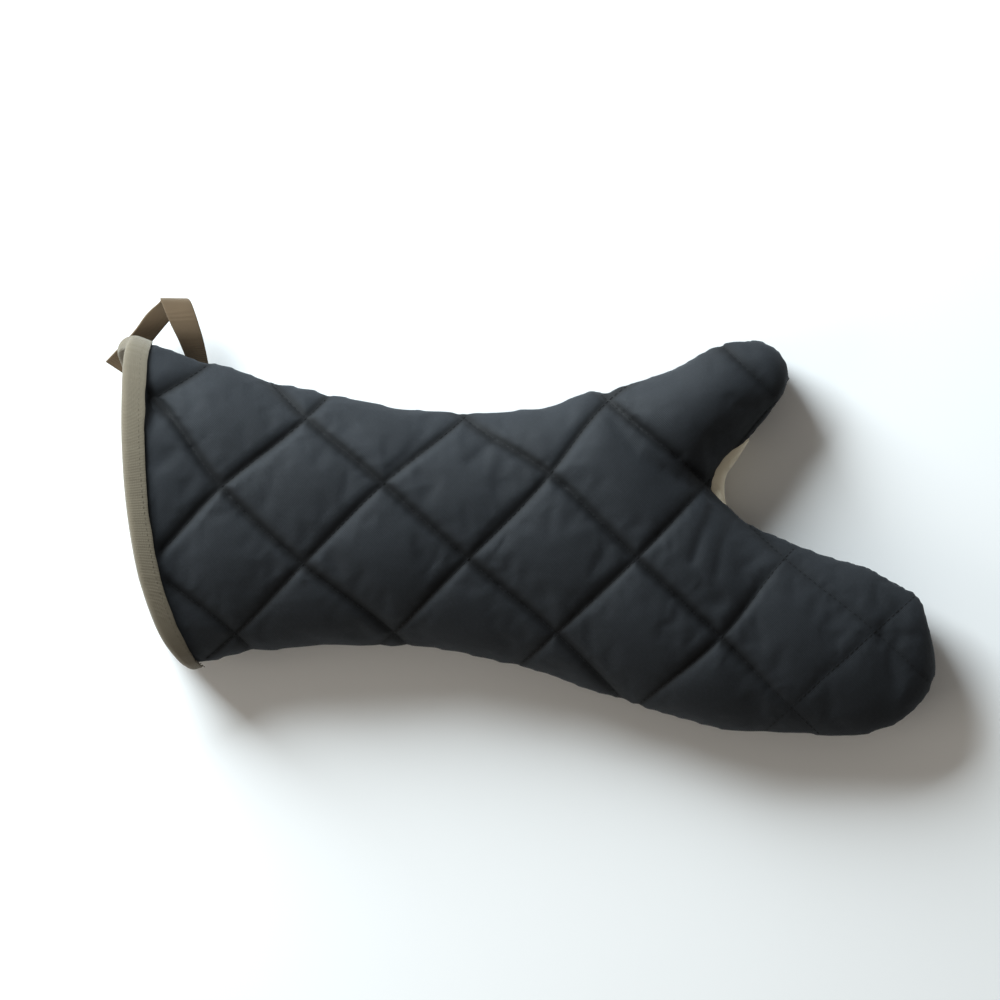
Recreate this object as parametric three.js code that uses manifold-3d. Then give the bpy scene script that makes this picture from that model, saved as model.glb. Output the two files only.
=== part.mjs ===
// An elbow length oven mitt lying on its palm side, thumb up.
// Millimetres. +X runs from the cuff to the fingers, +Y towards the thumb, +Z up from the surface it lies on.

import * as THREE from 'three';
import { LoftGeometry } from 'three/addons/geometries/LoftGeometry.js';
import { mergeVertices } from 'three/addons/utils/BufferGeometryUtils.js';
import Module from 'manifold-3d';

const wasm = await Module();
wasm.setup();

// Driving dimensions
const WALL = 6.5; // padded cloth at the crest of a quilted diamond
const QUILT_DEPTH = 2.5; // how far a quilting line pulls the cloth in
const QUILT_SHARPNESS = 5; // a higher power makes a narrower channel
const QUILT_HALF_X = 43.2; // half a diamond along the arm
const QUILT_HALF_Y = 39.75; // half a diamond across the arm
const QUILT_ORIGIN = new THREE.Vector2(-157.7, 17.5); // one crossing of the quilting lines
const TAPE = 1.4; // thickness of the binding, the loop and the web guard
const TAPE_WIDTH = 12.5; // width of the folded binding tape
const GAP = 0.3; // between pieces that touch
const SEAM_HEIGHT = 25; // side seam above the surface, half way along
const SEAM_SLOPE = -0.012; // the seam falls towards the fingers
const FULLNESS = 1.35; // the palm would hang this much lower if the surface did not flatten it
const SIDE_PULL = 0.25; // share of the quilting's pull that is left at the side seam
const PRESSED = 8; // the surface flattens the quilting up to this height
const FINGER_TIP = 23; // how far the rounded end runs past the last section
const THUMB_TIP = 15.5;
const COVER = GAP + TAPE; // a tape stands this far from the cloth that it covers
const BEYOND = 320; // clear of the mitt on every side
const TIP_FLAT = 0.35; // of a step is left flat at the very end of a rounded tip
const LOOP_STEPS = 3; // steps along the loop between two stations
const WELD = 1e-3; // points closer than this are one

// Sections across the arm and the hand, from the cuff to the fingers: the end on the thumb's side,
// the end on the other side, and the height of the crown over the surface
const ARM_SECTIONS = table('thumbX thumbY farX farY crown lift', [
  [-230, 103.5, -200, -84.5, 60, COVER],
  [-204, 94.5, -171.5, -78.5, 60, COVER],
  [-187, 88.5, -155, -75, 60.5, COVER],
  [-170, 82, -138, -71.5, 61, 0],
  [-138, 73, -117, -69, 62, 0],
  [-106.5, 65.5, -93, -68, 63, 0],
  [-74.5, 60, -66.5, -69, 63, 0],
  [-42.5, 56, -42.5, -70, 62, 0],
  [-16, 55, -19, -74.5, 61, 0],
  [13, 59.5, 5, -80.5, 61, 0],
  [42, 66, 31.5, -90, 61, 0],
  [64, 56, 62, -100, 60, 0],
  [85, 33, 87, -107.5, 58, 0],
  [101.5, 15.5, 111, -113, 55, 0],
  [118, -1, 130, -114, 52, 0],
  [141, -12.5, 148, -115, 50, 0],
  [164, -20.5, 166.5, -116, 47, 0],
  [185, -27.5, 181, -116, 44, 0],
  [201, -37, 194, -113, 40, 0],
]);

// Sections across the thumb, from inside the hand to near its tip
const THUMB_SECTIONS = table('thumbX thumbY farX farY crown lift', [
  [34, 56, 76, 4, 48, 0],
  [51, 68.5, 96, 12, 52, 0],
  [66, 73, 102.5, 25, 52, 0],
  [80.5, 79, 107, 30, 50, 0],
  [95, 86.5, 117, 37, 47, 0],
  [108, 91.5, 125.5, 47, 43, 0],
  [120.5, 93.5, 134, 57, 38, 0],
]);

// The binding's outer edge seen from above, from beyond the thumb's side round to beyond the far side
const CUFF_EDGE = table('x y', [
  [-199, 107],
  [-205.5, 97.5],
  [-210.3, 88],
  [-211.5, 70],
  [-211.5, 41],
  [-209.8, 8],
  [-204.5, -23],
  [-199.5, -42],
  [-192, -61.5],
  [-183.5, -74],
  [-176, -80.5],
  [-160, -90],
]);

// The hanging loop's tape from its cut tail to the end of its second leg: its two edges.
// It runs up behind the cuff's corner, folds forward over its top and comes down again.
const LOOP_STATIONS = table('outerX outerY outerZ innerX innerY innerZ', [
  [-220.5, 82.5, 18, -210, 75.5, 8],
  [-206, 97.5, 21.5, -195, 94, 9],
  [-198.5, 107.5, 21.5, -184, 105.5, 17],
  [-191.5, 114.5, 21.5, -177, 114, 21],
  [-190.8, 116.2, 23.6, -175.4, 115.8, 23],
  [-190, 114, 25.4, -173.8, 112.5, 25],
  [-184.5, 102, 25, -171, 102, 25],
  [-180, 93, 21, -167.5, 92, 21],
  [-178.5, 73, 7, -165.5, 69.5, 7],
]);

// The padded web of the palm in the thumb's crotch, and the round patch that guards it
const WEB_CENTRE = new THREE.Vector3(96.5, 21, 18.5);
const WEB_SIZE = new THREE.Vector3(9.8, 18, 11.5);
const GUARD_RADIUS = 21;
const GUARD_AHEAD = 12; // the patch's centre from the web's
const GUARD_FOOT = 5; // its lower edge over the surface

// Steps along each row of the tables, round the tips, and over and under the seam
const OUTER_STEPS = {
  arm: { perRow: 3, tipSteps: 5, above: 18, below: 8 },
  thumb: { perRow: 2, tipSteps: 4, above: 12, below: 6 },
};
const INNER_STEPS = {
  arm: { perRow: 1, tipSteps: 4, above: 12, below: 8 },
  thumb: { perRow: 1, tipSteps: 3, above: 8, below: 6 },
};

const MATERIALS = {
  quilted: new THREE.MeshStandardMaterial({ color: 0x2c3138, roughness: 0.85, metalness: 0 }),
  binding: new THREE.MeshStandardMaterial({ color: 0x8a8474, roughness: 0.8, metalness: 0 }),
  loop: new THREE.MeshStandardMaterial({ color: 0x6b5a47, roughness: 0.8, metalness: 0 }),
  guard: new THREE.MeshStandardMaterial({ color: 0xb8ae97, roughness: 0.8, metalness: 0 }),
};

function table(columns, rows) {
  const names = columns.split(' ');
  return rows.map((row) => Object.fromEntries(names.map((name, i) => [name, row[i]])));
}

function seamHeight(x) {
  return SEAM_HEIGHT + SEAM_SLOPE * x;
}

// How far the quilting pulls the cloth in at a place: 1 on a line, 0 inside a diamond
function quiltPull(x, y) {
  const across = (x - QUILT_ORIGIN.x) / QUILT_HALF_X;
  const up = (y - QUILT_ORIGIN.y) / QUILT_HALF_Y;
  const towardsLine = (phase) => Math.abs(Math.cos((phase * Math.PI) / 2)) ** QUILT_SHARPNESS;
  return Math.max(towardsLine(across + up), towardsLine(across - up));
}

// Stations along a tube, smooth through the rows of a table, then round its closed tip
function tubeStations(rows, perRow, tip, tipSteps, inset) {
  const through = (point) => new THREE.CatmullRomCurve3(rows.map((r) => new THREE.Vector3(...point(r))));
  const thumbSide = through((r) => [r.thumbX, r.thumbY, r.crown]);
  const farSide = through((r) => [r.farX, r.farY, r.lift]);
  const count = (rows.length - 1) * perRow;
  const stations = [];
  for (let i = 0; i <= count; i++) {
    const a = thumbSide.getPoint(i / count);
    const b = farSide.getPoint(i / count);
    const half = new THREE.Vector2(a.x - b.x, a.y - b.y).multiplyScalar(0.5);
    stations.push({
      centre: new THREE.Vector2((a.x + b.x) / 2, (a.y + b.y) / 2),
      across: half.clone().normalize(),
      radius: half.length() - inset,
      crown: a.z - inset,
      lift: Math.max(0, b.z) + inset,
      squeeze: 1,
    });
  }
  const last = stations[stations.length - 1];
  const ahead = new THREE.Vector2(last.across.y, -last.across.x);
  for (let i = 1; i <= tipSteps; i++) {
    const angle = (i / (tipSteps + TIP_FLAT)) * (Math.PI / 2);
    const centre = last.centre.clone().addScaledVector(ahead, (tip - inset) * Math.sin(angle));
    stations.push({ ...last, centre, radius: last.radius * Math.cos(angle), squeeze: Math.cos(angle) });
  }
  return stations;
}

// One point of a section: a round crown over the seam, and a belly that the surface flattens
function sectionPoint(station, angle, pull) {
  const radius = station.radius - pull;
  const plan = station.centre.clone().addScaledVector(station.across, radius * Math.cos(angle));
  const seam = seamHeight(plan.x);
  const rise = Math.sin(angle) * station.squeeze;
  if (rise >= 0) return new THREE.Vector3(plan.x, plan.y, seam + (station.crown - pull - seam) * rise);
  const hang = FULLNESS * (seam - station.lift) - pull;
  return new THREE.Vector3(plan.x, plan.y, Math.max(station.lift, seam + hang * rise));
}

function tube(rows, { perRow, tip, tipSteps, above, below, inset, quilted }) {
  const angles = [];
  for (let i = 0; i < above; i++) angles.push((Math.PI * i) / above);
  for (let i = 0; i < below; i++) angles.push(Math.PI + (Math.PI * i) / below);
  const sections = tubeStations(rows, perRow, tip, tipSteps, inset).map((station) => angles.map((angle) => {
    const smooth = sectionPoint(station, angle, 0);
    const free = THREE.MathUtils.clamp((smooth.z - station.lift) / PRESSED, 0, 1);
    const turned = THREE.MathUtils.lerp(SIDE_PULL, 1, Math.abs(Math.sin(angle)));
    const depth = QUILT_DEPTH * free * turned * station.squeeze;
    const pull = quilted ? depth * quiltPull(smooth.x, smooth.y) : 0;
    return sectionPoint(station, angle, pull);
  }));
  return solid(new LoftGeometry(sections, { capStart: true, capEnd: true }));
}

// The mitt's whole form without its web, grown or shrunk: the arm and the hand, joined with the thumb
function mittForm(inset, steps, quilted = false) {
  const arm = tube(ARM_SECTIONS, { ...steps.arm, tip: FINGER_TIP, inset, quilted });
  return arm.add(tube(THUMB_SECTIONS, { ...steps.thumb, tip: THUMB_TIP, inset, quilted }));
}

// The palm's padded web in the crotch, a squashed ball
function web(inset) {
  const ball = new THREE.SphereGeometry(1, 20, 14);
  ball.scale(WEB_SIZE.x - inset, WEB_SIZE.y - inset, WEB_SIZE.z - inset);
  ball.translate(WEB_CENTRE.x, WEB_CENTRE.y, WEB_CENTRE.z);
  return solid(ball);
}

// Everything on the fingers' side of the binding's outer edge, moved along the arm by shift
function insideCuff(shift) {
  const edge = new THREE.CatmullRomCurve3(CUFF_EDGE.map((p) => new THREE.Vector3(p.x, p.y, 0)));
  const outline = new THREE.Shape();
  edge.getPoints(3 * CUFF_EDGE.length).forEach((p, i) => {
    if (i === 0) outline.moveTo(p.x + shift, p.y);
    else outline.lineTo(p.x + shift, p.y);
  });
  outline.lineTo(BEYOND, -BEYOND);
  outline.lineTo(BEYOND, BEYOND);
  const block = new THREE.ExtrudeGeometry(outline, { depth: 2 * BEYOND, bevelEnabled: false });
  block.translate(0, 0, -BEYOND);
  return solid(block);
}

// Everything over the plane of the side seam, moved up by shift
function overSeam(shift) {
  const side = new THREE.Shape();
  side.moveTo(-BEYOND, seamHeight(-BEYOND) + shift);
  side.lineTo(BEYOND, seamHeight(BEYOND) + shift);
  side.lineTo(BEYOND, BEYOND);
  side.lineTo(-BEYOND, BEYOND);
  const block = new THREE.ExtrudeGeometry(side, { depth: 2 * BEYOND, bevelEnabled: false });
  block.rotateX(Math.PI / 2);
  block.translate(0, BEYOND, 0);
  return solid(block);
}

// The two quilted halves of the wall, parted at the side seam
function panels() {
  const hollow = mittForm(WALL, INNER_STEPS);
  const wall = mittForm(0, OUTER_STEPS, true).subtract(hollow).intersect(insideCuff(COVER));
  return {
    back: wall.intersect(overSeam(GAP / 2)),
    palm: wall.add(web(0).subtract(hollow)).subtract(overSeam(-GAP / 2)),
  };
}

// A tape folded over the cuff's edge, outside and inside
function cuffBinding() {
  const layer = (grow) => mittForm(-grow, OUTER_STEPS).subtract(mittForm(WALL + grow, INNER_STEPS));
  const covered = layer(GAP).intersect(insideCuff(TAPE));
  const folded = layer(COVER).intersect(insideCuff(0)).subtract(insideCuff(TAPE_WIDTH));
  return folded.subtract(covered);
}

// A patch of tape over the padded web, from the seam down to the palm
function webGuard() {
  const grown = (inset) => mittForm(inset, OUTER_STEPS).add(web(inset));
  const layer = grown(-COVER).subtract(grown(-GAP));
  const patch = new THREE.CylinderGeometry(GUARD_RADIUS, GUARD_RADIUS, SEAM_HEIGHT, 32);
  patch.rotateX(Math.PI / 2);
  patch.translate(WEB_CENTRE.x + GUARD_AHEAD, WEB_CENTRE.y, GUARD_FOOT + SEAM_HEIGHT / 2);
  return layer.intersect(solid(patch)).subtract(overSeam(-GAP));
}

// The loop's tape, lofted through its stations with its own thickness, clear of the cuff it is sewn to
function hangLoop() {
  const edge = (side) => new THREE.CatmullRomCurve3(LOOP_STATIONS.map((s) =>
    new THREE.Vector3(s[`${side}X`], s[`${side}Y`], s[`${side}Z`])));
  const outer = edge('outer');
  const inner = edge('inner');
  const steps = (LOOP_STATIONS.length - 1) * LOOP_STEPS;
  const sections = [];
  for (let i = 0; i <= steps; i++) {
    const a = outer.getPoint(i / steps);
    const b = inner.getPoint(i / steps);
    const along = outer.getTangent(i / steps).add(inner.getTangent(i / steps));
    const normal = new THREE.Vector3().subVectors(b, a).cross(along).setLength(TAPE / 2);
    const top = [a.clone().add(normal), b.clone().add(normal)];
    sections.push([...top, b.clone().sub(normal), a.clone().sub(normal)]);
  }
  const cloth = mittForm(-GAP, OUTER_STEPS).intersect(insideCuff(COVER));
  const binding = mittForm(-COVER - GAP, OUTER_STEPS).intersect(insideCuff(-GAP));
  const cuff = cloth.add(binding.subtract(insideCuff(TAPE_WIDTH + GAP)));
  return solid(new LoftGeometry(sections, { capStart: true, capEnd: true })).subtract(cuff);
}

// A closed geometry as a solid for joining and cutting
function solid(geometry) {
  const bare = new THREE.BufferGeometry();
  bare.setAttribute('position', geometry.attributes.position);
  bare.setIndex(geometry.index);
  const welded = mergeVertices(bare, WELD);
  return new wasm.Manifold(new wasm.Mesh({
    numProp: 3,
    vertProperties: new Float32Array(welded.attributes.position.array),
    triVerts: new Uint32Array(welded.index.array),
  }));
}

function piece(name, shape, material) {
  const { vertProperties, triVerts } = shape.getMesh();
  const geometry = new THREE.BufferGeometry();
  geometry.setAttribute('position', new THREE.BufferAttribute(new Float32Array(vertProperties), 3));
  geometry.setIndex(new THREE.BufferAttribute(new Uint32Array(triVerts), 1));
  geometry.computeVertexNormals();
  const mesh = new THREE.Mesh(geometry, material);
  mesh.name = name;
  return mesh;
}

const { back, palm } = panels();
const mitt = new THREE.Group();
mitt.add(
  piece('back_panel', back, MATERIALS.quilted),
  piece('palm_panel', palm, MATERIALS.quilted),
  piece('cuff_binding', cuffBinding(), MATERIALS.binding),
  piece('hang_loop', hangLoop(), MATERIALS.loop),
  piece('thumb_web_guard', webGuard(), MATERIALS.guard),
);

// The origin is on the surface, under the middle of the mitt's box
const box = new THREE.Box3().setFromObject(mitt);
const middle = box.getCenter(new THREE.Vector3());
mitt.position.set(-middle.x, -middle.y, -box.min.z);

export default mitt;
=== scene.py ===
"""Looks of a quilted elbow length oven mitt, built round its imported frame."""

import math

import bmesh
import bpy
import numpy as np
from bpy.props import FloatProperty, FloatVectorProperty, IntProperty, PointerProperty
from mathutils import Matrix, Vector, noise
from mathutils.bvhtree import BVHTree


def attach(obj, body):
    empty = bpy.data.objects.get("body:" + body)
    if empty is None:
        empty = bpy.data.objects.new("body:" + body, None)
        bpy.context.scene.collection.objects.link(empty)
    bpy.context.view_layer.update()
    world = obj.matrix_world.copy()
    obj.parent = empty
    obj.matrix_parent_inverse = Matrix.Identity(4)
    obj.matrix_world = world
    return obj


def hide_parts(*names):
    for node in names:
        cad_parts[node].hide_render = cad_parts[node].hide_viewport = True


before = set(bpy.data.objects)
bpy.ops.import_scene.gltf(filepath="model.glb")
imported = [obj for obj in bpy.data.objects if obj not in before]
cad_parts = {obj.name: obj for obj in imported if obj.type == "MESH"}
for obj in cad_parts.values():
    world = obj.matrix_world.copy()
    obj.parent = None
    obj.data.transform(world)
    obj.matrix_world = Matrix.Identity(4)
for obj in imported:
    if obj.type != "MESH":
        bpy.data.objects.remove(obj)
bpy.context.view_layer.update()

bl_info = {
    "name": "Quilted oven mitt",
    "version": (1, 0, 0),
    "blender": (4, 5, 0),
    "location": "View3D > Sidebar > Oven mitt",
    "description": "Quilted padding, bound cuff, hanging loop, web guard and stitching of an oven mitt",
    "category": "Add Mesh",
}

MM = 0.001

# The patterns below are drawn in millimetres from this point of the frame, in millimetres too
PATTERN_ZERO = np.array([0.08, -0.46])

# The mitt's form near its cuff: sections across the arm, from their end on the thumb's side
# to the far end, with the height of the crown and of the underside
CUFF_SECTIONS = np.array([
    # thumb x, thumb y, far x, far y, crown, lift
    [-230, 103.5, -200, -84.5, 60, 1.7],
    [-204, 94.5, -171.5, -78.5, 60, 1.7],
    [-187, 88.5, -155, -75, 60.5, 1.7],
    [-170, 82, -138, -71.5, 61, 0],
    [-138, 73, -117, -69, 62, 0],
])

# The binding's outer edge seen from above, from beyond the far side to beyond the thumb's side
CUFF_EDGE = np.array([
    # x, y
    [-160, -90], [-176, -80.5], [-183.5, -74], [-192, -61.5], [-199.5, -42], [-204.5, -23],
    [-209.2, 8], [-211.5, 41], [-211.5, 70], [-210.3, 88], [-205.5, 97.5], [-199, 107],
])
CUFF_EDGE_STEPS = 200
HALVINGS = 30  # how often the search for a point's place along the cuff halves its range
UNDERSIDE_SOFTNESS = 2.5  # how gently the palm meets the surface at the cuff
SEAM_HEIGHT = 25  # side seam over the surface, half way along
SEAM_SLOPE = -0.012
SEAM_OVERLAP = 0.3  # the panels' edges press this far past the seam
SEAM_PRESSED = 0.5  # cloth this near the seam lies wholly against the other panel
SEAM_REACH = 4.5  # cloth this near the seam follows it
MESH_SMOOTHING = 3  # rounds that even out the mesh
SEAM_SMOOTHING = 5  # further rounds that take the steps out of the outline
FULLNESS = 1.35  # the palm would hang this much lower if the surface did not flatten it

# Middle lines of the arm and the thumb, from which the padding's outer face looks away
ARM_AXIS = np.array([
    # x, y, z
    [-215, 10, 30], [-100, 0, 30], [-17, -10, 30], [60, -22, 28], [120, -57, 26], [197, -75, 24],
])
THUMB_AXIS = np.array([
    # x, y, z
    [55, 30, 28], [84, 49, 27], [108, 69, 25], [127, 75, 23],
])

# Height of the crown along the arm and the hand, and along the thumb
CROWN_HEIGHTS = np.array([
    # x, height
    [-230, 60], [-110, 63], [-40, 62], [60, 60], [118, 52], [164, 47], [200, 40], [222, 34],
])
THUMB_REACH = (60, 30)  # beyond this x and above this y it is the thumb
THUMB_CROWN = (50, 38, 62, 135)  # crown height at its root and tip, and the x of both

# Quilting: straight lines both ways, which the padding and the fit of the mitt pull out of place
QUILT_ORIGIN = (-157.7, 17.5)
QUILT_HALF = (43.2, 39.75)  # half a diamond along and across the arm
QUILT_PITCH = 58.5  # from one line to the next
LINES_PER_PHASE = 2
QUILT_SHIFTS = np.array([
    # crossing along, crossing down, moved along, moved up
    [-1, -1, 7.7, 5.8], [1, -1, 1.2, -5.0], [3, -1, -1.9, -4.8], [5, -1, -11.9, 4.2],
    [7, -1, -8.0, 4.8], [0, 0, 0, -1.6], [2, 0, -1.1, 0], [4, 0, 0.5, 5.3], [6, 0, -3.2, 0],
    [1, 1, -0.3, -2.7], [3, 1, 0.3, 0], [5, 1, 2.9, 0.5], [7, 1, -5.0, 0.5], [0, 2, 6.9, 0],
    [2, 2, 4.2, 0.5], [4, 2, 3.7, 0.5], [6, 2, 4.2, -1.6], [8, 2, -0.5, 1.6], [7, 3, -1.9, 1.1],
    [-0.33, -1.67, 7.1, -2.8], [-1, 1, 4.0, -3.2],
])
SHIFT_REACH = 42  # a moved crossing takes the lines with it about this far round
LINE_ROUNDS = 12  # how often a line's place is worked out again from its shift, and each round's share
LINE_EASE = 0.7

# Some lines are sewn tighter than others
FALLING_TIGHTNESS = {0: 1.5, 2: 1.45, 4: 1.5, 6: 1.6, 8: 1.0}
RISING_TIGHTNESS = {0: 1.4, 2: 1.1, 4: 1.2, 6: 1.15, 8: 1.2, 10: 0.9}
RISING_LEAN = (1.35, 0.8)  # a rising line's bank is wider on its upper side than on its lower one
FALLING_SHADE = 1.5  # how much wider than a rising line a falling one is painted dark, as painted shade in its crease
FINGERS_FROM = 100  # past this x the lines pull less
FINGERS_TO = 150
FINGER_TIGHTNESS = 0.2

# The frame's own channels, which are taken out of the padding again
FRAME_QUILT_DEPTH = 2.5
FRAME_QUILT_SHARPNESS = 5
FRAME_PRESSED = 8  # below this height the surface presses them flat
FRAME_SIDE_PULL = 0.25  # how much of their depth is left at the side seam

# The padding's channel along a quilting line: a groove at the stitches in a wide dish
GROOVE = (0.55, 3.4)  # share of the channel's depth, half width
DISH = (0.5, 11)
PADDING_SUNK = 0.9  # the padding starts this far in, and its filling pushes it out again
INNER_SHARE = 0.45  # how much of the channel shows inside the hollow
WALL_LEFT = 3.7  # deeper channels than this push the inner face into the hollow
PADDING_FREE = (11, 17)  # from the cuff's edge: plain up to the first under the binding, full from the second

# What the sewing holds while the padding swells: cloth this near a line, the seam and the cuff's edge
LINE_HELD = 1.3
SEAM_HELD = 1.2
CUFF_HELD = 14
CLOTH_QUALITY = 4
CLOTH_STIFFNESS = 0.5

# The cloth's relief after it has swollen
RELIEF_FREE = (12, 17)  # from the cuff's edge, as the padding's
CREASE = (0.9, 1.1)  # depth and half width of the crease that the stitches pull in
CREASE_SHADE_WIDTH = 2.0  # half width of the band of painted shade along a rising line, standing in for the shade in its crease
PUCKERS = (0.15, 7.5, 3.2)  # height, distance from one to the next, and how far beside a line they lie
PUCKER_LEAST = 0.6
PUCKER_WANDER = 3.0  # how far they stray along the line
WANDER_SIZE = 9
SOFT_RELIEF = (0.22, 26)  # height and size of the wide unevenness
FINE_RELIEF = (0.08, 7)
INNER_RELIEF = 0.3  # how much of the relief shows inside the hollow
REST_SOFTNESS = 0.8  # how gently the cloth meets the surface

# The quilting stitches
STITCH_LIFT = 0.12  # the thread's middle over the cloth
STITCH_LENGTH = 0.74  # share of the pitch that shows as thread
STITCHES_FROM = 14.5  # distance from the cuff's edge
STITCHES_OVER_SEAM = 1.5
STITCHES_FACING = 0.12  # stitches show where the cloth faces up, or down, by more than this
STITCH_RUN = 3  # a shorter run than this many steps has no stitch
LINE_NUMBERS = range(-10, 14, LINES_PER_PHASE)
LINE_STEPS = np.arange(-10, 12, 0.03)
MITT_MIDDLE = 30  # height that the search for the cloth starts away from, and how far away
SEARCH_FROM = 100

# Where the mitt's outline lies further out or in than the frame's
OUTLINE_SHIFTS = np.array([
    # x, y, out
    [-157, 79, 2.5], [-132, 72, 0.5], [-109, 66, 1.3], [-64, 58, -1.7], [-37, 56, 0.7],
    [15, 58, -2.8], [42, 65, 1.4],
    [84, 80, -1.2], [110, 92, 2.0], [133, 86, -2.3], [143, 79, 2.9], [141, 66, -4.6], [131, 55, 2.4],
    [101, 19, 2.4], [164, -22, -0.8], [184, -28, 0.8], [209, -43, 2.6], [216, -56, -4.3],
    [218, -84, 1.1], [206, -107, -4.3],
    [84, -105, -0.8], [20, -86, -1.4], [-11, -75, 0.9], [-101, -67, -0.8], [-148, -73, -1.8],
])
OUTLINE_REACH = 14  # each shift fades out about this far round

# Folds that are not quilting lines, on the back of the mitt
FOLDS = (
    # (points of the fold in x and y), depth, half width
    (((-194, 58.5), (-180, 70.5), (-165, 81)), 5.0, 8),
    (((-46, 55), (-50, 45), (-60, 34), (-68, 26)), 1.2, 3.2),
    (((-10, 54), (-12, 45.5), (-19, 37), (-26, 30)), 1.2, 3.2),
    (((114.5, 84.5), (123, 77.5), (131, 68)), 0.8, 3.4),
    (((104, 7), (97, -6), (91, -23)), 1.1, 3.2),
    (((113, -2), (107, -14), (104, -29)), 0.8, 3.2),
    (((188, -38), (193, -52), (190, -66)), 0.7, 3.0),
)
FOLD_STEPS = 12

# The binding across its width: distance from its outer edge, and height over the padding
BINDING_PROFILE = np.array([
    # shift, grow
    [12.4, 0.95], [11.4, 1.2], [9, 1.35], [5.5, 1.45], [3, 1.3], [1.5, 0.4], [0.9, -1.4], [0.8, -3.25],
    [0.9, -5.1], [1.5, -7.0], [3, -7.7], [5.5, -7.9], [9, -7.8], [12.4, -7.5],
])
BINDING_THICKNESS = 1.1
BINDING_GRID = (60, 420)  # steps across and along
BINDING_WIDTHS = (0.95, 1.05)  # the tape shows narrower on the far side than on the thumb's side
WIDTHS_CHANGE = (-0.2, 0.9)  # between these shares of the way from the middle to the thumb's side
FAR_END_FROM = 0.8  # past this share of the far side the tape narrows further
FAR_END_NARROWER = 0.25
CORNER_FLARE = (4.8, -18, 13)  # at the loop its fold sticks out: how far, where and half width in degrees
FLARE_FADES = (1.5, 7)  # between these distances from the tape's outer edge
BINDING_WAVE = (0.35, 0.12)  # how far its inner edge strays, and the bends' size with the cuff's radius as 1
BINDING_RIPPLE = (0.12, 0.03)  # the same for its height
BINDING_CLEARANCE = 0.05  # between the tape and the surface
BINDING_SOFTNESS = 0.4
BINDING_ROW = (10.2, 1.3)  # its row of stitches: distance from the outer edge, height over the padding
BINDING_PITCH = 2.9
BINDING_STITCH_LENGTH = 0.7
BINDING_ROW_STEPS = 500
CUFF_TRIM = 0.7  # the tape and the cloth under it end this far inside the frame's edge
SIDE_FULLNESS = (0.8, 2.2)  # how far the palm and the back round out over the frame at their sides

# The hanging loop's two edges, from its cut tail over the fold to the end of its second leg
LOOP_STATIONS = np.array([
    # outer x, y, z, inner x, y, z
    [-220.5, 82.5, 11, -210, 75.5, 9],
    [-206, 97.5, 18, -195, 94, 13],
    [-198.5, 107.5, 20, -185.5, 105, 18],
    [-191.5, 114, 21.5, -177.5, 113.5, 21],
    [-191, 115.6, 23.6, -176.2, 115.4, 23],
    [-190.2, 113.4, 25.4, -174, 112.6, 25],
    [-185.4, 102, 25.6, -170.4, 102, 24.4],
    [-180.6, 92, 21.6, -167.6, 91.4, 20.4],
    [-174, 75, 7.5, -163.8, 71, 7.5],
])
LOOP_THICKNESS = 1.2
LOOP_GRID = (14, 220)

# The web guard, drawn round the middle of the gap between thumb and fingers
GUARD_CENTRE = (126, 21)
GUARD_EDGE = np.array([
    # direction seen from there in degrees, distance of the guard's outer face
    [104, 19.9], [118, 16.6], [135, 14.7], [156, 14.7], [170, 16.2], [188, 17.8], [205, 19.6], [224, 22.8],
])
GUARD_ROWS = (
    # height over the floor, how far it is drawn in over the padding
    (26.3, 8.6), (26.2, 5.4), (25.6, 2.4), (24.2, 0.9), (22, 0.1), (18, 0), (13, 0.6), (8.5, 2.4), (5.2, 5.5),
)
GUARD_THICKNESS = 1.1
GUARD_GRID = (36, 90)
EDGE_ROUNDING = 0.35  # of a tape's thickness

# Camera straight over the mitt: what its picture is centred on and how wide it is
PICTURE_CENTRE = (-10.87, 9.0)
PICTURE_WIDTH = 530
PICTURE_HEIGHT_OVER_FLOOR = 25
CAMERA_HEIGHT = 6000
SENSOR = 36

FLOOR_HALF = 6  # in metres, as the lights
LIGHTS = (
    # name, place, size, power, colour
    ("key", (-0.95, 1.22, 0.76), 1.0, 77, (0.85, 0.95, 1.0)),
    ("fill", (-1.9, -0.6, 0.75), 1.3, 13, (1.0, 0.93, 0.82)),
)
ROOM_COLOUR = (1.0, 0.95, 0.87, 1)
ROOM_STRENGTH = 0.19


# Settings

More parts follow.
